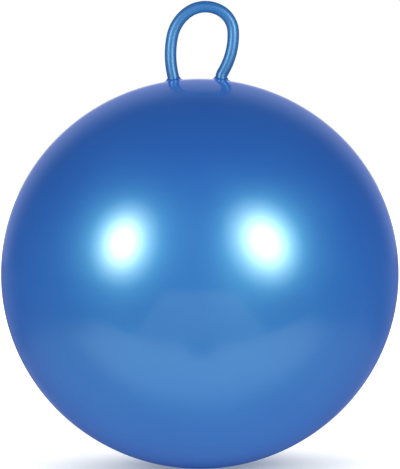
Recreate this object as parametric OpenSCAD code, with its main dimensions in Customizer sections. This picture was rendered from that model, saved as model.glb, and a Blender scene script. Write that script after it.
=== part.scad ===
// Hopper ball: an inflated soft plastic ball with a bent tube for a handle.
// Lengths are in mm and angles in degrees. The ball stands on z = 0.
// The handle loop lies in the XZ plane, and the air valve faces +Y.

/* [Ball] */
// Width of the inflated ball
ball_w = 450; // [400:1:500]
// Height of the inflated ball before the floor flattens its foot
ball_h = 441; // [400:1:500]
// Thickness of the moulded skin
skin_wall = 1; // [0.6:0.1:2]
// Width of the patch that the ball's weight flattens on the floor
foot_d = 44; // [20:1:80]

/* [Handle tube] */
// Outer diameter of the tube
tube_d = 13.2; // [11:0.1:16]
// Wall of the tube
tube_wall = 2.6; // [1.5:0.1:3.5]
// Distance between the two places where the tube enters the ball
root_spacing = 54; // [48:1:62]
// Height of the loop's top above the ball's top
loop_h = 88; // [78:1:110]
// Outward lean of the left leg
left_lean = 13; // [6:1:18]
// Outward lean of the right leg
right_lean = 32; // [20:1:36]
// Straight tube above the skin before the leg starts to lean
root_rise = 2; // [1.5:0.1:4]
// Centreline radius of the bend where a leg starts to lean
root_bend_r = 12; // [9:0.5:16]
// Height above the skin that flexes when the loop is folded over
flex_h = 10; // [9:0.5:14]

/* [Handle tunnel] */
// Gap between the tube and the tunnel that it is threaded through
tunnel_clear = 0.25; // [0.15:0.05:0.5]
// Wall of the tunnel
tunnel_wall = 1.6; // [1:0.1:2.5]
// Depth from the skin down to where the tunnel starts to curve
tunnel_drop = 12; // [8:0.5:20]
// Width of each flange around the tunnel, welded under the skin
tunnel_flange_w = 10.5; // [5:0.5:14]
// Thickness of each flange
tunnel_flange_t = 1.5; // [1:0.1:3]
// Height of the rim that stands above the skin around the tube
lip_h = 1.2; // [0.5:0.1:1.5]

/* [Handle joiner] */
// Height of the barbs above the pin
joiner_barb_h = 0.55; // [0.3:0.05:1]
// Length of pin in each end of the tube
joiner_reach = 13; // [8:0.5:18]
// Thickness of the collar that the tube's ends meet
joiner_collar_t = 2; // [1:0.1:4]
// Number of barbs in each end of the tube
joiner_barbs = 3; // [1:1:4]
// Length of each barb
joiner_barb_l = 1.6; // [1:0.1:1.8]
// Gap between a barb and the tube's bore
joiner_clear = 0.05; // [0.02:0.01:0.1]

/* [Air valve] */
// Width of the rim around the plug's head
valve_rim = 1.75; // [1:0.05:3]
// Width of the flange around the rim, under the skin
valve_flange_w = 8; // [5:0.5:14]
// Depth of the valve's face below the ball's outermost point
valve_sink = 0.4; // [0.3:0.1:1]
// Thickness of the soft floor under the plug's head
valve_floor = 1.6; // [1:0.1:3]
// Wall of the neck inside the ball
valve_neck_wall = 3.5; // [2:0.1:4]
// Length of the neck below the floor
valve_neck_l = 17; // [12:0.5:24]
// Bore that the plug's stem seals
valve_bore = 6; // [4:0.1:7]

/* [Valve plug] */
// Diameter of the plug's head
plug_head_d = 14; // [12:0.1:20]
// Thickness of the plug's head
plug_head_t = 2; // [1.5:0.1:3]
// Height of the sealing rings above the stem
plug_ring_h = 0.35; // [0.2:0.05:0.6]
// Length of the stem under the head
plug_stem_l = 16; // [10:0.5:18]
// Number of sealing rings on the stem
plug_rings = 3; // [1:1:5]
// Width of each sealing ring
plug_ring_l = 1.2; // [0.6:0.1:2]
// Length of the tapered tip
plug_tip_l = 2.5; // [1:0.1:4]
// Diameter at the end of the tip
plug_tip_d = 3; // [1:0.1:3.2]
// Gap between the sealing rings and the bore
plug_clear = 0.05; // [0.02:0.01:0.1]
// Gap around and under the plug's head
head_clear = 0.2; // [0.1:0.05:0.4]

/* [Hidden] */
$fn = 96;
// facets in a preview of the ball's own surface
ball_fn = 240;
// gap at every welded seam between the skin and a fitting
seam = 0.05;
// extra length of every cutting tool
over = 1;
// radius of the fingernail scoop in the valve's rim, as a share of the rim's width
scoop_share = 0.8;

// steps to a millimetre, and to a degree, in which places and turns are written out
place_steps = 1000;
turn_steps = 100;

// The loop is five bends from left to right: a leg, a shoulder, the crown, a shoulder and a leg.
// Turn of each bend as a share of the whole turn
turn_shares = [0.11, 0.185, 0.295, 0.26, 0.15];
// Radius of the shoulders and the crown as a share of the crown's radius
crown_shares = [1.3, 1, 0.84];

// Ball: a side arc and two cap arcs that meet tangentially at 45 degrees
half_w = ball_w / 2;
half_h = ball_h / 2;
arc_shift = (half_w - half_h) * (1 + sqrt(1 / 2));
cap_r = half_h + arc_shift;
side_r = half_w - arc_shift;
foot_sag = cap_r - sqrt(cap_r * cap_r - foot_d * foot_d / 4);
ball_z = half_h - foot_sag;
top_z = ball_z + half_h;
reach = ball_w + ball_h + loop_h;

// Handle: the bends meet tangentially, and the radii bring them to the stated top and roots
tube_r = tube_d / 2;
bore_r = tube_r - tube_wall;
root_x = root_spacing / 2;
root_z = ball_z - arc_shift + sqrt(cap_r * cap_r - root_x * root_x);
bend_z = root_z + root_rise;
split_z = root_z + flex_h;
left_foot = [-root_x - root_bend_r * (1 - cos(left_lean)), bend_z + root_bend_r * sin(left_lean)];
right_foot = [root_x + root_bend_r * (1 - cos(right_lean)), bend_z + root_bend_r * sin(right_lean)];
crown_z = top_z + loop_h - tube_r;
left_climb = crown_z - left_foot[1];
right_climb = crown_z - right_foot[1];

last = len(turn_shares) - 1;
share_turn = (180 + left_lean + right_lean) / total(turn_shares, last + 1);
heads = [for (i = [0:last + 1]) even_turn(share_turn * total(turn_shares, i) - left_lean)];
left_rise = sin(heads[1]) - sin(heads[0]);
left_slope = (cos(heads[0]) - cos(heads[1])) / left_rise;
right_rise = sin(heads[last]) - sin(heads[last + 1]);
right_slope = (cos(heads[last]) - cos(heads[last + 1])) / right_rise;
runs = [for (i = [1:last - 1]) cos(heads[i]) - cos(heads[i + 1])];
climbs = [for (i = [1:last - 1]) up_sine(heads[i + 1]) - up_sine(heads[i])];
falls = [for (i = [1:last - 1]) down_sine(heads[i]) - down_sine(heads[i + 1])];
run_share = crown_shares * runs;
climb_share = crown_shares * climbs;
fall_share = crown_shares * falls;
root_span = right_foot[0] - left_foot[0];
crown_r = (root_span - left_climb * left_slope - right_climb * right_slope)
    / (run_share - climb_share * left_slope - fall_share * right_slope);
left_leg_r = (left_climb - crown_r * climb_share) / left_rise;
right_leg_r = (right_climb - crown_r * fall_share) / right_rise;
loop_radii = [left_leg_r, for (share = crown_shares) crown_r * share, right_leg_r];

// Tunnel and joiner follow the same half ring below the skin
turn_z = root_z - tunnel_drop;
tunnel_bore_r = tube_r + tunnel_clear;
tunnel_r = tunnel_bore_r + tunnel_wall;
tunnel_flange_r = tunnel_r + tunnel_flange_w;
ring_angle = 180 / (PI * root_x);
collar_half = joiner_collar_t / 2 * ring_angle;
pin_half = collar_half + joiner_reach * ring_angle;
barb_r = bore_r - joiner_clear;
pin_r = barb_r - joiner_barb_h;
barb_pitch = joiner_reach / joiner_barbs;

// Valve: measured inwards from the ball's outermost point
recess_r = plug_head_d / 2 + head_clear;
rim_r = recess_r + valve_rim;
valve_flange_r = rim_r + valve_flange_w;
valve_neck_r = valve_bore / 2 + valve_neck_wall;
recess_z = valve_sink + plug_head_t + head_clear;
cup_z = recess_z + valve_floor;
neck_z = cup_z + valve_neck_l;
ring_pitch = (plug_stem_l - plug_tip_l) / (plug_rings + 1);
ring_r = valve_bore / 2 - plug_clear;
stem_r = ring_r - plug_ring_h;

function total(values, count) = count > 0 ? values[count - 1] + total(values, count - 1) : 0;

// Sine of a heading on the climbing and on the falling side of the bow
function up_sine(heading) = sin(min(heading, 90));
function down_sine(heading) = sin(max(heading, 90));

// Places and turns in even steps, which are written out without rounding
function even_place(place) = [for (x = place) floor(x * place_steps) / place_steps];
function even_turn(turn) = round(turn * turn_steps) / turn_steps;

// Point where the loop's bend number i starts
function bend_start(i) = i > 0
    ? bend_start(i - 1) + loop_radii[i - 1]
        * [cos(heads[i - 1]) - cos(heads[i]), sin(heads[i]) - sin(heads[i - 1])]
    : left_foot;

module sector(r, from, to) {
    far = r / cos((to - from) / 2);
    intersection() {
        circle(r, $fn = ball_fn);
        polygon([[0, 0], far * [cos(from), sin(from)], far * [cos(to), sin(to)]]);
    }
}

// Right half of the ball's section, inset by a given depth, flattened at the foot
module half_section(inset) {
    intersection() {
        translate([0, inset - ball_z]) square([reach, reach]);
        union() {
            translate([0, -arc_shift]) sector(cap_r - inset, 45, 90);
            translate([arc_shift, 0]) sector(side_r - inset, -45, 45);
            translate([0, arc_shift]) sector(cap_r - inset, -90, -45);
        }
    }
}

module ball_solid(inset) {
    translate([0, 0, ball_z]) rotate_extrude($fn = ball_fn) half_section(inset);
}

module cap_solid(inset) {
    translate([0, 0, ball_z - arc_shift]) sphere(cap_r - inset, $fn = ball_fn);
}

module at_roots() {
    for (side = [-1, 1]) place([side * root_x, 0, turn_z]) children();
}

module at_valve() {
    translate([0, half_w, ball_z]) rotate([-90, 0, 0]) children();
}

// Moves a child by whole millimetres, even steps and the rest in turn, to keep every digit
module place(to) {
    whole = [for (x = to) floor(x)];
    steps = even_place(to - whole);
    translate(whole) translate(steps) translate(to - whole - steps) children();
}

// Arc in the XZ plane swept by the section given as a child
module arc(centre, r, start, turn) {
    place([centre[0], 0, centre[1]])
        rotate([90, 0, 0])
        rotate_extrude(angle = turn, start = start)
        place([r, 0, 0]) children();
}

module tube_section() {
    difference() {
        circle(tube_r);
        circle(bore_r);
    }
}

module loop_bend(i) {
    centre = bend_start(i) + loop_radii[i] * [cos(heads[i]), -sin(heads[i])];
    arc(centre, loop_radii[i], 180 - heads[i + 1], heads[i + 1] - heads[i]) tube_section();
}

module left_root_bend() {
    arc([-root_x - root_bend_r, bend_z], root_bend_r, 0, left_lean) tube_section();
}

module right_root_bend() {
    arc([root_x + root_bend_r, bend_z], root_bend_r, 180 - right_lean, right_lean) tube_section();
}

// Left half of the run inside the ball, from the joiner's collar up to the root bend
module buried_run() {
    arc([0, turn_z], root_x, 180, 90 - collar_half) tube_section();
    place([-root_x, 0, turn_z]) linear_extrude(tunnel_drop + root_rise) tube_section();
}

module above_split() {
    translate([-reach / 2, -reach / 2, split_z]) cube(reach);
}

module below_split() {
    translate([-reach / 2, -reach / 2, split_z - reach]) cube(reach);
}

module ball_skin() {
    color("royalblue") difference() {
        translate([0, 0, ball_z]) rotate_extrude($fn = ball_fn) difference() {
            half_section(0);
            half_section(skin_wall);
        }
        at_roots() cylinder(r = tunnel_r + seam, h = tunnel_drop + over + tunnel_r);
        at_valve() translate([0, 0, -neck_z]) cylinder(r = rim_r + seam, h = neck_z + over);
    }
}

module handle_tunnel() {
    color("steelblue") difference() {
        union() {
            arc([0, turn_z], root_x, 180, 180) circle(tunnel_r);
            intersection() {
                at_roots() cylinder(r = tunnel_r, h = tunnel_drop + tunnel_r);
                cap_solid(-lip_h);
            }
            intersection() {
                at_roots() cylinder(r = tunnel_flange_r, h = tunnel_drop + tunnel_r);
                difference() {
                    cap_solid(skin_wall + seam);
                    cap_solid(skin_wall + seam + tunnel_flange_t);
                }
            }
        }
        arc([0, turn_z], root_x, 180, 180) circle(tunnel_bore_r);
        at_roots() cylinder(r = tunnel_bore_r, h = tunnel_drop + tunnel_r + over);
    }
}

module handle_loop() {
    color("cornflowerblue") intersection() {
        union() {
            left_root_bend();
            for (i = [0:last]) loop_bend(i);
            right_root_bend();
        }
        above_split();
    }
}

module handle_tail_left() {
    color("dodgerblue") intersection() {
        union() {
            buried_run();
            left_root_bend();
            loop_bend(0);
        }
        below_split();
    }
}

module handle_tail_right() {
    color("deepskyblue") intersection() {
        union() {
            mirror([1, 0, 0]) buried_run();
            right_root_bend();
            loop_bend(last);
        }
        below_split();
    }
}

module handle_joiner() {
    color("gainsboro") {
        arc([0, turn_z], root_x, 270 - pin_half, 2 * pin_half) circle(pin_r);
        arc([0, turn_z], root_x, 270 - collar_half, 2 * collar_half) circle(tube_r);
        for (i = [1:joiner_barbs]) {
            far = collar_half + i * barb_pitch * ring_angle;
            barb = joiner_barb_l * ring_angle;
            arc([0, turn_z], root_x, 270 - far, barb) circle(barb_r);
            arc([0, turn_z], root_x, 270 + far - barb, barb) circle(barb_r);
        }
    }
}

module valve_seat() {
    color("slateblue") difference() {
        union() {
            intersection() {
                at_valve() translate([0, 0, -cup_z]) cylinder(r = valve_flange_r, h = cup_z);
                ball_solid(skin_wall + seam);
            }
            at_valve() {
                translate([0, 0, -cup_z]) cylinder(r = rim_r, h = cup_z - valve_sink);
                translate([0, 0, -neck_z]) cylinder(r = valve_neck_r, h = neck_z - recess_z);
            }
        }
        at_valve() {
            translate([0, 0, -recess_z]) cylinder(r = recess_r, h = recess_z + over);
            translate([0, 0, -neck_z - over]) cylinder(d = valve_bore, h = neck_z + over);
            translate([recess_r, 0, -valve_sink]) sphere(valve_rim * scoop_share);
        }
    }
}

module valve_plug() {
    head_z = valve_sink + plug_head_t;
    tip_z = head_z + plug_stem_l;
    color("whitesmoke") at_valve() {
        translate([0, 0, -head_z]) cylinder(d = plug_head_d, h = plug_head_t);
        translate([0, 0, plug_tip_l - tip_z])
            cylinder(r = stem_r, h = plug_stem_l - plug_tip_l + plug_head_t / 2);
        translate([0, 0, -tip_z]) cylinder(r1 = plug_tip_d / 2, r2 = stem_r, h = plug_tip_l);
        for (i = [1:plug_rings])
            translate([0, 0, -head_z - i * ring_pitch - plug_ring_l / 2])
                cylinder(r = ring_r, h = plug_ring_l);
    }
}

ball_skin();
handle_tunnel();
handle_loop();
handle_tail_left();
handle_tail_right();
handle_joiner();
valve_seat();
valve_plug();
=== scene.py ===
"""Looks of the hopper ball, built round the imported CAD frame. Lengths are in metres."""

import math

import bpy
import numpy as np
from mathutils import Matrix, Vector


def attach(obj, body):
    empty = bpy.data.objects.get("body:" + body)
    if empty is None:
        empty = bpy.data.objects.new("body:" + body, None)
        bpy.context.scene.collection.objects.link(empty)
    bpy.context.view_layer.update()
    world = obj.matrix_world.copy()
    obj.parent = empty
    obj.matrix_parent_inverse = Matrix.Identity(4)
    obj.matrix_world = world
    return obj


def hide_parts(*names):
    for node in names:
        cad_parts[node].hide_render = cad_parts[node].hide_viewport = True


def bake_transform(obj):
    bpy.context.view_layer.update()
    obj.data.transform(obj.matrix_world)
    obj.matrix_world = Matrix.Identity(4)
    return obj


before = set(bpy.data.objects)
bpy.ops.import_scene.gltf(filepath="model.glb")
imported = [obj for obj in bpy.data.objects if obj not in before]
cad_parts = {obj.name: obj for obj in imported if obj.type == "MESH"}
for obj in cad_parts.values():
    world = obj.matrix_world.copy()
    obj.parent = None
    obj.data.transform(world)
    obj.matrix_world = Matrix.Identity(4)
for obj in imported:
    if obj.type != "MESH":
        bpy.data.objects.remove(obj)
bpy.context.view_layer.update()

MM = 0.001
TINY = 1e-9  # a length below this counts as none

# Sizes, as in the part's source

HALF_W, HALF_H, SKIN_WALL = 225 * MM, 220.5 * MM, 1 * MM
ARCS_MEET = math.sqrt(0.5)  # sine of the slope at which the oval's arcs meet
ARC_SHIFT = (HALF_W - HALF_H) * (1 + ARCS_MEET)
CAP_R, SIDE_R = HALF_H + ARC_SHIFT, HALF_W - ARC_SHIFT
FOOT_R = 22 * MM
BALL_Z = HALF_H - CAP_R + math.sqrt(CAP_R**2 - FOOT_R**2)

TUBE_R, BORE_R = 6.6 * MM, 4.0 * MM
ROOT_X = 27 * MM
ROOT_Z = BALL_Z - ARC_SHIFT + math.sqrt(CAP_R**2 - ROOT_X**2)
ROOT_RISE, ROOT_BEND_R, FLEX_H = 2 * MM, 12 * MM, 10 * MM
TUNNEL_DROP, COLLAR_T = 12 * MM, 2 * MM
TURN_Z = ROOT_Z - TUNNEL_DROP
# headings of the loop's five bends, clockwise from straight up, and their radii
HEADS = [math.radians(a) for a in (-13, 11.75, 53.38, 119.75, 178.25, 212)]
BEND_R = [r * MM for r in (104.576, 44.5962, 34.3048, 28.816, 82.0482)]

# The skin's flare round each root, and the lip at its top

FLARE_LOW, FLARE_HIGH = 1.4 * MM, 3.2 * MM  # its height in front and behind, and on either side
FLARE_R, LIP_R, LIP_BORE_R = 11.6 * MM, 7.55 * MM, 6.82 * MM
WELD_H, WELD_SHARE = 1.2 * MM, 0.27  # at the height of the tunnel's weld, this share of its spread is left
LIP_SHARE, LIP_DOME, LIP_END = 0.4, 0.6, 0.4 * MM  # the lip's outer round, how high that is, its inner end

# The valve, in mm: radii, and depths below the back of the ball

VALVE_BORE_R, RECESS_R, RIM_R, FLANGE_R, NECK_R = 3.0, 7.2, 8.95, 16.95, 6.5
RIM_D, RECESS_D, NECK_D = 0.4, 2.6, 21.2
FLANGE_IN_D, FLANGE_OUT_D, FLANGE_BACK_D = 1.24, 1.7, 4.2  # its face at the rim, at its edge, and its back
SCOOP_R = 1.4  # a fingernail's scoop in the rim
HEAD_R, HEAD_D, STEM_R, STEM_D = 7.0, 2.4, 2.6, 15.9
TIP_R, TIP_D = 1.5, 18.4
RIBS, RIB_R, RIB_HALF, RIB_SLOPE = 3, 2.95, 0.6, 0.35


# Meshes

FOOT_EDGE = 0.06 * MM  # how softly the flat patch underneath runs into the ball


def make_mesh(name, points, faces):
    mesh = bpy.data.meshes.new(name)
    mesh.from_pydata([tuple(p) for p in points], [], faces)
    mesh.validate()
    mesh.shade_smooth()
    obj = bpy.data.objects.new(name, mesh)
    bpy.context.scene.collection.objects.link(obj)
    return obj


def oval(normals, inset):
    """Points of the ball's oval with these unit normals, moved inwards by inset."""
    flat = np.hypot(normals[:, 0], normals[:, 1])[:, None]
    side = (SIDE_R - inset) * normals
    side[:, :2] += ARC_SHIFT * normals[:, :2] / np.maximum(flat, TINY)
    cap = (CAP_R - inset) * normals
    cap[:, 2] -= ARC_SHIFT * np.sign(normals[:, 2])
    points = np.where(np.abs(normals[:, 2:]) > ARCS_MEET, cap, side)
    return points + [0, 0, BALL_Z]


def crown_at(x, y, inset):
    return BALL_Z - ARC_SHIFT + np.sqrt((CAP_R - inset) ** 2 - x * x - y * y)


def sole_at(x, y, inset):
    """The underside, with its flattened foot and a small radius round it."""
    low = BALL_Z + ARC_SHIFT - np.sqrt((CAP_R - inset) ** 2 - x * x - y * y) - inset
    return inset + (low + np.sqrt(low * low + FOOT_EDGE**2)) / 2


def back_at(z, x, inset):
    ring = ARC_SHIFT + np.sqrt((SIDE_R - inset) ** 2 - (z - BALL_Z) ** 2)
    return np.sqrt(ring * ring - x * x)


GRID = 80  # squares along each side of the cube that is blown up to the ball
TOP, SOLE, BACK = (2, GRID), (2, 0), (1, GRID)
ROOT_AT, ROOT_HALF, VALVE_HALF, FOOT_HALF = 6, 5, 5, 8  # place and half widths of the patches, in squares
MORPH = (0.3, 0.6, 0.85)  # rings between a patch's square and its widest circle, as shares of the way


class Patch:
    """A square of the ball's grid that gives way to rings round a centre, with a hole or a foot in it."""

    def __init__(self, side, low_u, high_u, low_v, high_v, centre, height, rings):
        self.side, self.centre, self.height, self.rings = side, centre, height, rings
        self.low_u, self.high_u, self.low_v, self.high_v = low_u, high_u, low_v, high_v

    def holds(self, side, u, v):
        inside = self.low_u <= u < self.high_u and self.low_v <= v < self.high_v
        return side == self.side and inside

    def border(self):
        """Grid points round the square, anticlockwise seen from outside, and the angle of each."""
        a, b, c, d = self.low_u, self.high_u, self.low_v, self.high_v
        loop = [(u, c) for u in range(a, b)] + [(b, v) for v in range(c, d)]
        loop += [(u, d) for u in range(b, a, -1)] + [(a, v) for v in range(d, c, -1)]
        first = -0.75 * math.pi  # towards the corner that the loop starts at
        angles = [2 * math.pi * i / len(loop) + first for i in range(len(loop))]
        if self.side[1] == 0:
            loop, angles = loop[::-1], angles[::-1]
        return loop, np.array(angles)


def ball_mesh(name, patches):
    """The skin as one closed shell: outer grid, inner grid, and the patches that join them."""
    points, faces, index = [], [], {}

    def grid_key(side, u, v):
        key = [0, 0, 0]
        key[side[0]], key[(side[0] + 1) % 3], key[(side[0] + 2) % 3] = side[1], u, v
        return tuple(key)

    for layer, inset in enumerate((0, SKIN_WALL)):
        keys, quads = {}, []
        for side in [(axis, end) for axis in range(3) for end in (0, GRID)]:
            for u in range(GRID):
                for v in range(GRID):
                    if any(p.holds(side, u, v) for p in patches):
                        continue
                    corners = [(u, v), (u + 1, v), (u + 1, v + 1), (u, v + 1)]
                    if (side[1] == 0) != (layer == 1):
                        corners.reverse()
                    quads.append([keys.setdefault(grid_key(side, *c), len(keys)) for c in corners])
        cube = np.tan((np.array(list(keys)) / GRID - 0.5) * math.pi / 2)
        start = len(points)
        points += list(oval(cube / np.linalg.norm(cube, axis=1)[:, None], inset))
        faces += [[start + i for i in quad] for quad in quads]
        index[layer] = {key: start + i for key, i in keys.items()}

    for patch in patches:
        loop, angles = patch.border()
        u_axis, v_axis = (patch.side[0] + 1) % 3, (patch.side[0] + 2) % 3
        spokes = np.stack([np.cos(angles), np.sin(angles)], 1)
        ends = [[index[layer][grid_key(patch.side, *uv)] for uv in loop] for layer in (0, 1)]
        square = [np.array([[points[i][u_axis], points[i][v_axis]] for i in ids]) for ids in ends]

        def ring(uv, inset, rise):
            place = np.zeros((len(uv), 3))
            place[:, u_axis], place[:, v_axis] = uv[:, 0], uv[:, 1]
            place[:, patch.side[0]] = patch.height(uv[:, 0], uv[:, 1], inset) + rise
            points.extend(place)
            return list(range(len(points) - len(uv), len(points)))

        def stitch(outer, inner):
            for i in range(len(outer)):
                j = (i + 1) % len(outer)
                faces.append([outer[i], outer[j], inner[j], inner[i]])

        def run(rings, ids):
            for uv, inset, rise in rings:
                new = ring(uv, inset, rise)
                stitch(ids, new)
                ids = new
            return ids

        centre, rings = np.array(patch.centre), patch.rings(angles)
        widest = [centre + rings[k][0] * spokes for k in (0, -1)]
        inwards = [((1 - s) * square[0] + s * widest[0], 0, 0) for s in MORPH]
        outwards = [((1 - s) * square[1] + s * widest[1], SKIN_WALL, 0) for s in MORPH[::-1]]
        if patch.side == SOLE:
            for layer, ids in enumerate(ends):
                morph = [(uv, layer * SKIN_WALL, 0) for uv, _, _ in inwards]
                discs = [(centre + r * spokes, layer * SKIN_WALL, 0) for r, _, _ in rings]
                first = len(faces)
                last = run(morph + discs, ids)
                points.append([*patch.centre, patch.height(0, 0, layer * SKIN_WALL)])
                hub = len(points) - 1
                faces.extend([last[i], last[(i + 1) % len(last)], hub] for i in range(len(last)))
                if layer == 1:
                    faces[first:] = [face[::-1] for face in faces[first:]]
        else:
            middle = [(centre + r * spokes, inset, rise) for r, inset, rise in rings]
            stitch(run(inwards + middle + outwards, ends[0]), ends[1])
    return make_mesh(name, points, faces)


def arc_steps(count):
    return [math.pi / 2 * i / count for i in range(count + 1)]


def root_rings(angles):
    """From the skin up a flare, over a thin lip and down round the tube: radius, inset, rise.

    The lip is low in front and behind, where the handle folds over it, and high on either side.
    """
    outside, inside = (2.5 * MM, 1.0 * MM), (7.4 * MM, 9 * MM, 12 * MM, 14.5 * MM)
    height = FLARE_LOW + (FLARE_HIGH - FLARE_LOW) * np.cos(angles) ** 2
    power = math.log(WELD_SHARE) / np.log(1 - WELD_H / height)  # so that each side clears the weld
    rings = [(FLARE_R + beyond, 0, 0) for beyond in outside]
    for a in arc_steps(12):
        share = math.sin(a)
        radius = LIP_R + (FLARE_R - LIP_R) * (1 - share) ** power
        rings.append((radius[:, None], 0, height * share))
    lip = (LIP_R - LIP_BORE_R) * LIP_SHARE
    crest_r = LIP_R - lip
    for a in arc_steps(3)[1:]:
        rings.append((LIP_R - lip * (1 - math.cos(a)), 0, height + lip * math.sin(a) * LIP_DOME))
    for a in arc_steps(5)[1:]:
        drop = (height - LIP_END) * (1 - math.cos(a))
        rings.append((crest_r - (crest_r - LIP_BORE_R) * math.sin(a), 0, height - drop))
    rings.append((LIP_BORE_R, SKIN_WALL, 0))
    return rings + [(r, SKIN_WALL, 0) for r in inside]


def valve_hole_rings(angles):
    """From the skin over a small edge radius and down to the inside: radius, inset, rise."""
    hole_r, edge = 9.02 * MM, 0.35 * MM
    outside, inside = (14.5 * MM, 11.5 * MM, 10.2 * MM), (10 * MM, 12 * MM, 14.5 * MM)
    rings = [(r, 0, 0) for r in outside]
    rings += [(hole_r + edge * (1 - math.sin(a)), 0, -edge * (1 - math.cos(a))) for a in arc_steps(5)]
    return rings + [(hole_r, SKIN_WALL, 0)] + [(r, SKIN_WALL, 0) for r in inside]


def foot_rings(angles):
    """Rings that close up round the foot's edge: radius, inset, rise."""
    radii_mm = (28, 25.5, 24, 23, 22.4, 22, 21.6, 21, 20, 17.5, 14, 10, 6, 3)
    return [(r * MM, 0, 0) for r in radii_mm]


def patch_at(side, along, half, centre, height, rings):
    """A patch whose middle lies some squares along from the middle of its side of the grid."""
    mid = GRID // 2
    return Patch(side, mid + along - half, mid + along + half, mid - half, mid + half, centre, height, rings)


def make_skin():
    patches = []
    for way in (-1, 1):
        patches.append(patch_at(TOP, way * ROOT_AT, ROOT_HALF, (way * ROOT_X, 0), crown_at, root_rings))
    patches.append(patch_at(BACK, 0, VALVE_HALF, (BALL_Z, 0), back_at, valve_hole_rings))
    patches.append(patch_at(SOLE, 0, FOOT_HALF, (0, 0), sole_at, foot_rings))
    return ball_mesh("skin", patches)


def tube_path():
    """Centreline of the hose in the XZ plane and its headings, from the joiner round the loop and back."""
    step, turn_steps, leg_steps, left_steps, right_steps = 1.6 * MM, 22, 8, 4, 8
    places, heads = [], []

    def bend(start, head, turn, radius, steps):
        """A bend to the right for a positive radius, to the left for a negative one."""
        for i in range(1, steps + 1):
            h = head + turn * i / steps
            x = start[0] + radius * (math.cos(head) - math.cos(h))
            z = start[1] + radius * (math.sin(h) - math.sin(head))
            places.append((x, z))
            heads.append(h)
        return places[-1]

    def straight(start, head, length, steps):
        for i in range(1, steps + 1):
            s = length * i / steps
            places.append((start[0] + s * math.sin(head), start[1] + s * math.cos(head)))
            heads.append(head)
        return places[-1]

    gap = COLLAR_T / 2 / ROOT_X
    quarter = math.pi / 2 - gap
    places.append((-ROOT_X * math.sin(gap), TURN_Z - ROOT_X * math.cos(gap)))
    heads.append(-math.pi / 2 + gap)
    at = bend(places[0], heads[0], quarter, ROOT_X, turn_steps)
    at = straight(at, 0, TUNNEL_DROP + ROOT_RISE, leg_steps)
    at = bend(at, 0, HEADS[0], -ROOT_BEND_R, left_steps)
    for i, radius in enumerate(BEND_R):
        turn = HEADS[i + 1] - HEADS[i]
        at = bend(at, HEADS[i], turn, radius, math.ceil(radius * turn / step))
    at = bend(at, HEADS[-1], math.pi - HEADS[-1], -ROOT_BEND_R, right_steps)
    at = straight(at, math.pi, TUNNEL_DROP + ROOT_RISE, leg_steps)
    bend(at, math.pi, quarter, ROOT_X, turn_steps)
    return np.array(places), np.array(heads)


def make_tube():
    """The hose as one closed solid, bore included, with its two cut ends slightly rounded."""
    places, heads = tube_path()
    around, edge = 48, 0.4 * MM
    spins = np.arange(around) * 2 * math.pi / around
    sections = []

    def section(i, radius, slip=0.0):
        side = np.array([math.cos(heads[i]), 0, -math.sin(heads[i])])
        ahead = np.array([math.sin(heads[i]), 0, math.cos(heads[i])])
        centre = np.array([places[i][0], 0, places[i][1]]) + slip * ahead
        circle = np.outer(np.cos(spins), side) + np.outer(np.sin(spins), [0, 1, 0])
        sections.append(centre + radius * circle)

    last = len(places) - 1
    for a in arc_steps(3):
        section(0, TUBE_R - edge * (1 - math.sin(a)), edge * (1 - math.cos(a)))
    for i in range(1, last):
        section(i, TUBE_R)
    for a in arc_steps(3)[::-1]:
        section(last, TUBE_R - edge * (1 - math.sin(a)), -edge * (1 - math.cos(a)))
    for i in range(last, -1, -1):
        section(i, BORE_R)
    points = np.concatenate(sections)
    faces = []
    for i in range(len(sections)):
        a, b = i * around, (i + 1) % len(sections) * around
        faces += [[a + (j + 1) % around, a + j, b + j, b + (j + 1) % around] for j in range(around)]
    return make_mesh("handle_tube", points, faces)


def rounded(corners):
    """Outline in (radius, depth) of corners given in mm, each as (radius, depth, radius of its fillet)."""
    outline, steps = [], 5
    for i, (r, d, fillet) in enumerate(corners):
        here = np.array([r, d], float)
        before, after = (np.array(corners[(i + k) % len(corners)][:2], float) - here for k in (-1, 1))
        if fillet == 0:
            outline.append(here)
            continue
        before, after = before / np.linalg.norm(before), after / np.linalg.norm(after)
        half = math.acos(np.clip(before @ after, -1, 1)) / 2
        centre = here + (before + after) / np.linalg.norm(before + after) * fillet / math.sin(half)
        start, end = (here + way * fillet / math.tan(half) - centre for way in (before, after))
        for k in range(steps + 1):
            spoke = start + (end - start) * k / steps
            outline.append(centre + spoke / np.linalg.norm(spoke) * fillet)
    return np.array(outline) * MM


def lathe(name, outline, around, closed):
    """An outline in (radius, depth) turned about the valve's axis, which runs in from the ball's back."""
    spins = np.arange(around) * 2 * math.pi / around
    points, faces, rows = [], [], []
    for r, d in outline:
        spin = spins if r > TINY else spins[:1]
        rows.append([len(points) + k for k in range(len(spin))])
        points += [(r * math.cos(s), HALF_W - d, BALL_Z + r * math.sin(s)) for s in spin]
    pairs = list(zip(rows, rows[1:])) + ([(rows[-1], rows[0])] if closed else [])
    for a, b in pairs:
        for j in range(around):
            k = (j + 1) % around
            quad = [a[j % len(a)], a[k % len(a)], b[k % len(b)], b[j % len(b)]]
            faces.append(list(dict.fromkeys(quad)))
    return make_mesh(name, points, faces)


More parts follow.
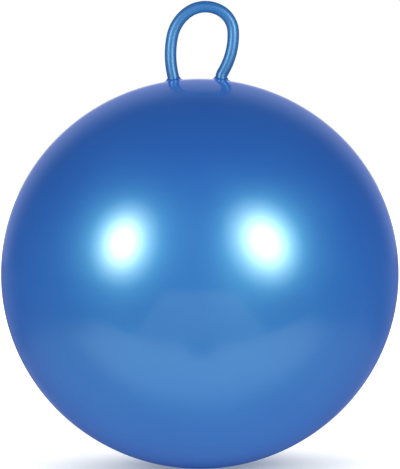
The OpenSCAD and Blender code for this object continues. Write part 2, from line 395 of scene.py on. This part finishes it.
def make_valve_seat():
    """The seat, finely meshed in front for its scoop: points inside a small ball move out to its surface."""
    step, fine_d, around = 0.35 * MM, 2.7 * MM, 160
    corners = [
        (VALVE_BORE_R, RECESS_D, 0.3), (RECESS_R, RECESS_D, 0.3), (RECESS_R, RIM_D, 0.3),
        (RIM_R, RIM_D, 0.3), (RIM_R, FLANGE_IN_D, 0), (FLANGE_R, FLANGE_OUT_D, 0.2),
        (FLANGE_R, FLANGE_BACK_D, 0.5), (NECK_R, FLANGE_BACK_D, 1.0), (NECK_R, NECK_D, 0.5),
        (VALVE_BORE_R, NECK_D, 0.3),
    ]
    dense, outline = [], rounded(corners)
    for a, b in zip(outline, np.roll(outline, -1, 0)):
        fine = min(a[1], b[1]) < fine_d
        count = max(1, round(np.linalg.norm(b - a) / step)) if fine else 1
        dense += [a + (b - a) * i / count for i in range(count)]
    seat = lathe("valve_rim", dense, around, True)
    scoop = Vector((RECESS_R * MM, HALF_W - RIM_D * MM, BALL_Z))
    for vertex in seat.data.vertices:
        way = vertex.co - scoop
        if TINY < way.length < SCOOP_R * MM:
            vertex.co = scoop + way * (SCOOP_R * MM / way.length)
    return seat


def make_valve_plug():
    """The stopper: a head with a slightly dished top, and a stem with ribs and a blunt tip."""
    around = 96
    corners = [(0, 0.55, 0), (3.6, 0.52, 2.0), (6.0, RIM_D, 1.0)]
    corners += [(HEAD_R, RIM_D, 0.45), (HEAD_R, HEAD_D, 0.3), (STEM_R, HEAD_D, 0.4)]
    pitch = (STEM_D - HEAD_D) / (RIBS + 1)
    for i in range(1, RIBS + 1):
        d = HEAD_D + i * pitch
        corners += [(STEM_R, d - RIB_HALF, 0.1), (RIB_R, d - RIB_HALF + RIB_SLOPE, 0.15)]
        corners += [(RIB_R, d + RIB_HALF - RIB_SLOPE, 0.15), (STEM_R, d + RIB_HALF, 0.1)]
    corners += [(STEM_R, STEM_D, 0.8), (TIP_R, TIP_D, 0.5), (0, TIP_D, 0)]
    return lathe("valve_stopper", rounded(corners), around, False)


# Materials

def add_node(tree, kind, settings=(), **inputs):
    node = tree.nodes.new(kind)
    for name, value in dict(settings).items():
        setattr(node, name, value)
    for name, value in inputs.items():
        socket = node.inputs[name.replace("_", " ")]
        if isinstance(value, bpy.types.NodeSocket):
            tree.links.new(value, socket)
        else:
            socket.default_value = value
    return node


def new_material(name):
    mat = bpy.data.materials.new(name)
    mat.use_nodes = True
    mat.node_tree.nodes.clear()
    return mat, mat.node_tree


def ramp(tree, value, start, end, low, high):
    node = add_node(
        tree, "ShaderNodeMapRange", {"interpolation_type": "SMOOTHSTEP"},
        Value=value, From_Min=start, From_Max=end, To_Min=low, To_Max=high,
    )
    return node.outputs["Result"]


def calc(tree, operation, *values):
    node = add_node(tree, "ShaderNodeMath", {"operation": operation})
    for socket, value in zip(node.inputs, values):
        if isinstance(value, bpy.types.NodeSocket):
            tree.links.new(value, socket)
        else:
            socket.default_value = value
    return node.outputs[0]


def blend(tree, kind, factor, a, b):
    """Mix of two numbers (FLOAT) or two colours (RGBA)."""
    node = add_node(tree, "ShaderNodeMix", {"data_type": kind})
    tree.links.new(factor, node.inputs[0])
    first = 2 if kind == "FLOAT" else 6
    for socket, value in zip(node.inputs[first:first + 2], (a, b)):
        if isinstance(value, bpy.types.NodeSocket):
            tree.links.new(value, socket)
        else:
            socket.default_value = value
    return node.outputs[0 if kind == "FLOAT" else 2]


def soft_plastic(name, deep, light, shine, coat, sheen, grain):
    """Moulded plastic: a mottled body colour, a fine fleck, uneven roughness and a faint orange peel."""
    mat, tree = new_material(name)
    coords = add_node(tree, "ShaderNodeTexCoord").outputs["Object"]
    cloud = add_node(tree, "ShaderNodeTexNoise", Vector=coords, Scale=grain["cloud"], Detail=3.0)
    cloud = cloud.outputs["Fac"]
    fleck = add_node(tree, "ShaderNodeTexVoronoi", Vector=coords, Scale=grain["fleck"])
    peel = add_node(tree, "ShaderNodeTexNoise", Vector=coords, Scale=grain["peel"], Detail=2.0)
    body = blend(tree, "RGBA", cloud, (*deep, 1), (*light, 1))
    spark = add_node(tree, "ShaderNodeSeparateColor", Color=fleck.outputs["Color"])
    gain = add_node(
        tree, "ShaderNodeMapRange", Value=spark.outputs["Red"],
        To_Min=1 - grain["sparkle"], To_Max=1 + grain["sparkle"],
    )
    colour = add_node(tree, "ShaderNodeVectorMath", {"operation": "SCALE"}, Scale=gain.outputs["Result"])
    tree.links.new(body, colour.inputs[0])
    rough = add_node(
        tree, "ShaderNodeMapRange", Value=cloud, From_Min=CLOUD_SPAN[0], From_Max=CLOUD_SPAN[1],
        To_Min=shine["roughness"] - grain["uneven"], To_Max=shine["roughness"] + grain["uneven"],
    )
    bump = add_node(
        tree, "ShaderNodeBump", Height=peel.outputs["Fac"], Strength=grain["bump"], Distance=PEEL_DEPTH
    )
    surface = add_node(
        tree, "ShaderNodeBsdfPrincipled",
        Base_Color=colour.outputs["Vector"], Roughness=rough.outputs["Result"], Normal=bump.outputs["Normal"],
        IOR=shine["ior"], Specular_Tint=(*shine["tint"], 1),
        Coat_Weight=coat["weight"], Coat_Roughness=coat["roughness"], Coat_IOR=coat["ior"],
        Sheen_Weight=sheen["weight"], Sheen_Roughness=sheen["roughness"], Sheen_Tint=(*sheen["tint"], 1),
    )
    add_node(tree, "ShaderNodeOutputMaterial", Surface=surface.outputs["BSDF"])
    return mat


CLOUD_SPAN = (0.3, 0.7)  # the noise levels over which the roughness goes from low to high
PEEL_DEPTH = 0.2 * MM
PEARL = {"cloud": 14.0, "fleck": 1600.0, "peel": 260.0, "sparkle": 0.06, "uneven": 0.02, "bump": 0.05}
SMOOTH = {"cloud": 30.0, "fleck": 1600.0, "peel": 400.0, "sparkle": 0.03, "uneven": 0.02, "bump": 0.02}
SATIN = {"cloud": 60.0, "fleck": 2400.0, "peel": 900.0, "sparkle": 0.02, "uneven": 0.04, "bump": 0.15}
SKIN_SHINE = {"roughness": 0.40, "ior": 2.92, "tint": (0.23, 0.93, 0.93)}
CLEAR = {"weight": 1.0, "roughness": 0.13, "ior": 1.85}
NO_COAT = {"weight": 0.0, "roughness": 0.2, "ior": 1.5}
FLOP = {"weight": 0.25, "roughness": 0.5, "tint": (0.04, 0.14, 1.0)}
NO_SHEEN = {"weight": 0.0, "roughness": 0.5, "tint": (1.0, 1.0, 1.0)}
TUBE_SHINE = {"roughness": 0.40, "ior": 2.25, "tint": (0.40, 0.82, 1.0)}
WHITE_SHINE = {"roughness": 0.42, "ior": 1.5, "tint": (1.0, 1.0, 1.0)}

SKIN_BLUE = (0.011, 0.080, 0.403), (0.013, 0.090, 0.443)
TUBE_BLUE = (0.016, 0.106, 0.340), (0.019, 0.114, 0.360)
VALVE_BLUE = (0.014, 0.090, 0.380), (0.016, 0.100, 0.410)
OFF_WHITE = (0.74, 0.74, 0.71), (0.80, 0.80, 0.78)

skin_blue = soft_plastic("pearl_blue_skin", *SKIN_BLUE, SKIN_SHINE, CLEAR, FLOP, PEARL)
tube_blue = soft_plastic("pearl_blue_tube", *TUBE_BLUE, TUBE_SHINE, NO_COAT, NO_SHEEN, SMOOTH)
valve_blue = soft_plastic("soft_blue_valve", *VALVE_BLUE, WHITE_SHINE, NO_COAT, NO_SHEEN, SATIN)
off_white = soft_plastic("off_white_plastic", *OFF_WHITE, WHITE_SHINE, NO_COAT, NO_SHEEN, SATIN)


# Pieces

def dress(obj, mat):
    obj.data.materials.clear()
    obj.data.materials.append(mat)
    return obj


skin = dress(make_skin(), skin_blue)
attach(skin, "ball")
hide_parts("ball_skin")

tube = dress(make_tube(), tube_blue)
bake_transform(tube)
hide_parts("handle_loop", "handle_tail_left", "handle_tail_right")

seat = dress(make_valve_seat(), valve_blue)
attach(seat, "ball")
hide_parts("valve_seat")

stopper = dress(make_valve_plug(), off_white)
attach(stopper, "plug")
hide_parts("valve_plug")

dress(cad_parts["handle_tunnel"], skin_blue)
dress(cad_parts["handle_joiner"], off_white)


# Camera

FRAME_W, FRAME_H, SENSOR = 400, 469, 36.0
BALL_AT = (199.8, 273.5)  # where the ball's centre falls in the photograph
BALL_SPAN = 199.0  # half its width there
ROLL = math.radians(-0.72)

ball_centre = Vector((0, 0, BALL_Z))
eye = Vector((0, -3.0, 0.33))
focal = BALL_SPAN / math.tan(math.asin(HALF_W / (ball_centre - eye).length))

lens = bpy.data.cameras.new("camera")
lens.sensor_fit = "AUTO"
lens.sensor_width = SENSOR
lens.lens = focal * SENSOR / FRAME_H
lens.clip_start, lens.clip_end = 0.1, 200
camera = bpy.data.objects.new("camera", lens)
bpy.context.scene.collection.objects.link(camera)
bpy.context.scene.camera = camera

aim = (ball_centre - eye).to_track_quat("-Z", "Y").to_matrix()
spot = Vector(((BALL_AT[0] - FRAME_W / 2) / focal, (FRAME_H / 2 - BALL_AT[1]) / focal, -1.0))
shift = spot.rotation_difference(Vector((0, 0, -1))).to_matrix()
turn = aim @ Matrix.Rotation(ROLL, 3, "Z") @ shift
camera.matrix_world = Matrix.Translation(eye) @ turn.to_4x4()


# Light, floor and background

# The lamps' angles are in degrees, the azimuth to the right of the camera as seen from the ball.
LAMP_DISTANCE = 2.0  # from the ball's centre
LEFT_LAMP = {"azimuth": -43.1, "elevation": 18.0, "radiance": 13.6, "size": (1.42, 1.70), "spin": 0.0}
RIGHT_LAMP = {"azimuth": 36.5, "elevation": 17.8, "radiance": 13.6, "size": (1.56, 1.86), "spin": 18.0}
LAMP_FADE = 4.4  # how fast a lamp fades from its bright middle to its edge
LAMP_SPILL = 0.015  # the even level under that fade, as a share of the middle's
FILL = 0.31  # level of the soft light from all round
# What gloss mirrors: the dark room, a blue-grey drape behind the object and the white in its middle.
ROOM = 0.04
DRAPE = (0.34, 0.395, 0.67)
DRAPE_RISE = math.radians(12)  # how far its middle lies above the horizon
DRAPE_EDGE = (0.67, 1.03)  # cosines of the angle from its middle, where it ends and where it would be full
WHITE_EDGE = (0.965, 0.992)  # cosines of the angle from straight behind, where the white ends and is full
# The floor's share of light returned: to the camera and to soft light, then what gloss mirrors of its parts.
PAPER = 0.78
BARE = (0.01, 0.09)  # the floor beyond the sheets, in front of the ball and behind it
BARE_Y = (-0.45, 0.10)  # where it goes from the one to the other
PAINTED_SHADE_SHEET = 0.24  # the sheet that the ball stands on, mirrored dark: painted shade
PAINTED_SHADE_REACH = (0.75, 0.45)  # where it ends, from and to, by the distance from the ball
NEAR_SHEET = 0.54  # a brighter strip across the front of the ball
NEAR_SHEET_Y = (-0.42, -0.36, -0.16, -0.24)  # front edge from and to, back edge from and to
NEAR_SHEET_X = (0.62, 0.25)  # its end on either side, from and to
FAR_SHEET = 0.23  # a sheet that widens towards the camera
FAR_SHEET_X = (0.15, 0.214)  # half its width: at the ball's axis, and its growth with distance
FAR_SHEET_Y = (-1.75, -1.55, -0.34, -0.40)  # its edges, as for the strip
SHEET_BLUR = 0.04  # how soft its sides are
MARK_Y, MARK_R = -0.385, (0.015, 0.075)  # a dark mark between the sheets: its place, and radii from and to
MARK_SHARE = (0.25, 1.0)  # the share of the tone that is left in the mark and outside it
REAR_GLOW = (0.12, 0.15, 0.27)  # the floor's glow behind the ball
REAR_GLOW_EDGE = (0.45, 0.95)  # cosines of the heading from straight behind, where it starts and is full
WHITE_FLOOR = (1.0, 2.0)  # how far behind the ball the floor turns white, from and to
# The floor's own white that the camera sees, from near the ball outwards, weaker near the ball as painted
# contact shade
CONTACT, CONTACT_GLOW = (0.04, 0.24), (0.2, 0.74)
FAR_FLOOR, FAR_GLOW = (0.7, 1.2), 0.5  # and what is added where the lamps no longer reach
UNDER_GLOW = 0.91  # soft light that the floor sends up under the ball


def round_lamp(name, azimuth, elevation, radiance, size, spin):
    """An oval lamp that faces the ball's centre and is brightest in its middle."""
    a, e = math.radians(azimuth), math.radians(elevation)
    way = Vector((math.sin(a) * math.cos(e), -math.cos(a) * math.cos(e), math.sin(e)))
    data = bpy.data.lights.new(name, "AREA")
    data.shape = "ELLIPSE"
    data.size, data.size_y = size
    data.energy = radiance * math.pi * (math.pi / 4 * data.size * data.size_y)
    data.use_nodes = True
    tree = data.node_tree
    tree.nodes.clear()
    spot = add_node(tree, "ShaderNodeNewGeometry").outputs["Parametric"]
    off = add_node(tree, "ShaderNodeVectorMath", {"operation": "DISTANCE"})
    tree.links.new(spot, off.inputs[0])
    off.inputs[1].default_value = (0.5, 0.5, 0)  # the lamp's middle
    share = calc(tree, "MULTIPLY", off.outputs["Value"], 2.0)  # 1 at its edge
    fade = calc(tree, "EXPONENT", calc(tree, "MULTIPLY", calc(tree, "MULTIPLY", share, share), -LAMP_FADE))
    level = calc(tree, "MULTIPLY_ADD", fade, 1 - LAMP_SPILL, LAMP_SPILL)
    glow = add_node(tree, "ShaderNodeEmission", Strength=level)
    add_node(tree, "ShaderNodeOutputLight", Surface=glow.outputs[0])
    lamp = bpy.data.objects.new(name, data)
    bpy.context.scene.collection.objects.link(lamp)
    face = way.to_track_quat("Z", "Y").to_matrix() @ Matrix.Rotation(math.radians(spin), 3, "Z")
    lamp.matrix_world = Matrix.Translation(ball_centre + LAMP_DISTANCE * way) @ face.to_4x4()
    lamp.visible_camera = False
    return lamp


def ray_kinds(tree):
    """Camera rays, and the glossy and transmission rays that show the background in a surface."""
    path = add_node(tree, "ShaderNodeLightPath").outputs
    mirrored = calc(tree, "MAXIMUM", path["Is Glossy Ray"], path["Is Transmission Ray"])
    return path["Is Camera Ray"], mirrored


def drape_share(tree, way):
    """How much of the drape lies in a direction from the ball: 0 beside it and nearly 1 in its middle."""
    facing = add_node(tree, "ShaderNodeVectorMath", {"operation": "DOT_PRODUCT"})
    tree.links.new(way, facing.inputs[0])
    facing.inputs[1].default_value = (0, math.cos(DRAPE_RISE), math.sin(DRAPE_RISE))
    return ramp(tree, facing.outputs["Value"], *DRAPE_EDGE, 0.0, 1.0)


def make_world():
    world = bpy.data.worlds.new("studio")
    bpy.context.scene.world = world
    world.use_nodes = True
    world.cycles.sampling_method = "NONE"  # so that each kind of ray meets its own level
    tree = world.node_tree
    tree.nodes.clear()
    way = add_node(tree, "ShaderNodeTexCoord").outputs["Generated"]
    behind = add_node(tree, "ShaderNodeSeparateXYZ", Vector=way).outputs["Y"]
    seen, mirrored = ray_kinds(tree)
    drape = blend(tree, "RGBA", drape_share(tree, way), (ROOM, ROOM, ROOM, 1), (*DRAPE, 1))
    shown = blend(tree, "RGBA", ramp(tree, behind, *WHITE_EDGE, 0.0, 1.0), drape, (1, 1, 1, 1))
    light = blend(tree, "RGBA", mirrored, (FILL, FILL, FILL, 1), shown)
    colour = blend(tree, "RGBA", seen, light, (1, 1, 1, 1))
    sky = add_node(tree, "ShaderNodeBackground", Color=colour)
    add_node(tree, "ShaderNodeOutputWorld", Surface=sky.outputs["Background"])


def floor_tone(tree, place, away):
    """What gloss mirrors of the floor: a painted-shade sheet under the ball, a pale one before it, a strip
    and a dark mark.
    """
    side = calc(tree, "ABSOLUTE", place.outputs["X"])
    front = place.outputs["Y"]
    width = calc(tree, "MULTIPLY_ADD", front, -FAR_SHEET_X[1], FAR_SHEET_X[0])
    far = ramp(tree, calc(tree, "SUBTRACT", side, width), 0.0, SHEET_BLUR, 1.0, 0.0)
    far = calc(tree, "MULTIPLY", far, ramp(tree, front, *FAR_SHEET_Y[:2], 0.0, 1.0))
    far = calc(tree, "MULTIPLY", far, ramp(tree, front, *FAR_SHEET_Y[2:], 0.0, 1.0))
    ahead = ramp(tree, front, *NEAR_SHEET_Y[:2], 0.0, 1.0)
    near = calc(tree, "MULTIPLY", ahead, ramp(tree, front, *NEAR_SHEET_Y[2:], 0.0, 1.0))
    near = calc(tree, "MULTIPLY", near, ramp(tree, side, *NEAR_SHEET_X, 0.0, 1.0))
    # painted shade: round the ball the mirrored floor is darker, on top of its real shadow
    under = calc(tree, "MULTIPLY", ahead, ramp(tree, away, *PAINTED_SHADE_REACH, 0.0, 1.0))
    base = blend(tree, "FLOAT", under, ramp(tree, front, *BARE_Y, *BARE), PAINTED_SHADE_SHEET)
    tone = blend(tree, "FLOAT", far, base, FAR_SHEET)
    tone = blend(tree, "FLOAT", near, tone, NEAR_SHEET)
    off_y = calc(tree, "SUBTRACT", front, MARK_Y)
    square = calc(tree, "MULTIPLY_ADD", off_y, off_y, calc(tree, "MULTIPLY", side, side))
    mark = ramp(tree, calc(tree, "SQRT", square), *MARK_R, *MARK_SHARE)
    return calc(tree, "MULTIPLY", tone, mark)


def make_floor():
    reach, rings, around = 60.0, 24, 64
    points, faces = [(0, 0, 0)], []
    for k in range(1, rings + 1):
        r = reach * (k / rings) ** 3  # finer towards the ball
        spins = [2 * math.pi * j / around for j in range(around)]
        points += [(r * math.cos(spin), r * math.sin(spin), 0) for spin in spins]
    faces += [[0, 1 + j, 1 + (j + 1) % around] for j in range(around)]
    for k in range(rings - 1):
        a, b = 1 + k * around, 1 + (k + 1) * around
        faces += [[a + j, b + j, b + (j + 1) % around, a + (j + 1) % around] for j in range(around)]
    floor = make_mesh("floor", points, faces)
    mat, tree = new_material("pale_floor")
    mat.cycles.emission_sampling = "NONE"
    coords = add_node(tree, "ShaderNodeTexCoord").outputs["Object"]
    place = add_node(tree, "ShaderNodeSeparateXYZ", Vector=coords)
    away = add_node(tree, "ShaderNodeVectorMath", {"operation": "LENGTH"})
    tree.links.new(coords, away.inputs[0])
    away = away.outputs["Value"]
    seen, mirrored = ray_kinds(tree)
    tone = blend(tree, "FLOAT", mirrored, PAPER, floor_tone(tree, place, away))
    # painted contact shade: less glow near the ball, added to its real shadow
    near = ramp(tree, away, *CONTACT, *CONTACT_GLOW)
    glow = calc(tree, "ADD", near, ramp(tree, away, *FAR_FLOOR, 0.0, FAR_GLOW))
    heading = calc(tree, "DIVIDE", place.outputs["Y"], away)
    behind = ramp(tree, heading, *REAR_GLOW_EDGE, 0.0, 1.0)
    white = ramp(tree, heading, *WHITE_EDGE, 0.0, 1.0)
    white = calc(tree, "MULTIPLY", white, ramp(tree, away, *WHITE_FLOOR, 0.0, 1.0))
    rear = blend(tree, "RGBA", behind, (0, 0, 0, 1), (*REAR_GLOW, 1))
    shown = blend(tree, "RGBA", white, rear, (1, 1, 1, 1))
    light = blend(tree, "RGBA", mirrored, (UNDER_GLOW, UNDER_GLOW, UNDER_GLOW, 1), shown)
    colour = blend(tree, "RGBA", seen, light, (1, 1, 1, 1))
    lit = blend(tree, "FLOAT", seen, 1.0, glow)
    paper = add_node(tree, "ShaderNodeBsdfDiffuse", Color=tone)
    own = add_node(tree, "ShaderNodeEmission", Color=colour, Strength=lit)
    both = add_node(tree, "ShaderNodeAddShader")
    tree.links.new(paper.outputs[0], both.inputs[0])
    tree.links.new(own.outputs[0], both.inputs[1])
    under = add_node(tree, "ShaderNodeNewGeometry").outputs["Backfacing"]
    clear = add_node(tree, "ShaderNodeBsdfTransparent")
    mix = add_node(tree, "ShaderNodeMixShader", Fac=under)
    tree.links.new(both.outputs[0], mix.inputs[1])
    tree.links.new(clear.outputs[0], mix.inputs[2])
    add_node(tree, "ShaderNodeOutputMaterial", Surface=mix.outputs[0])
    floor.data.materials.append(mat)


round_lamp("lamp_left", **LEFT_LAMP)
round_lamp("lamp_right", **RIGHT_LAMP)
make_world()
make_floor()
bpy.context.scene.view_settings.view_transform = "Standard"
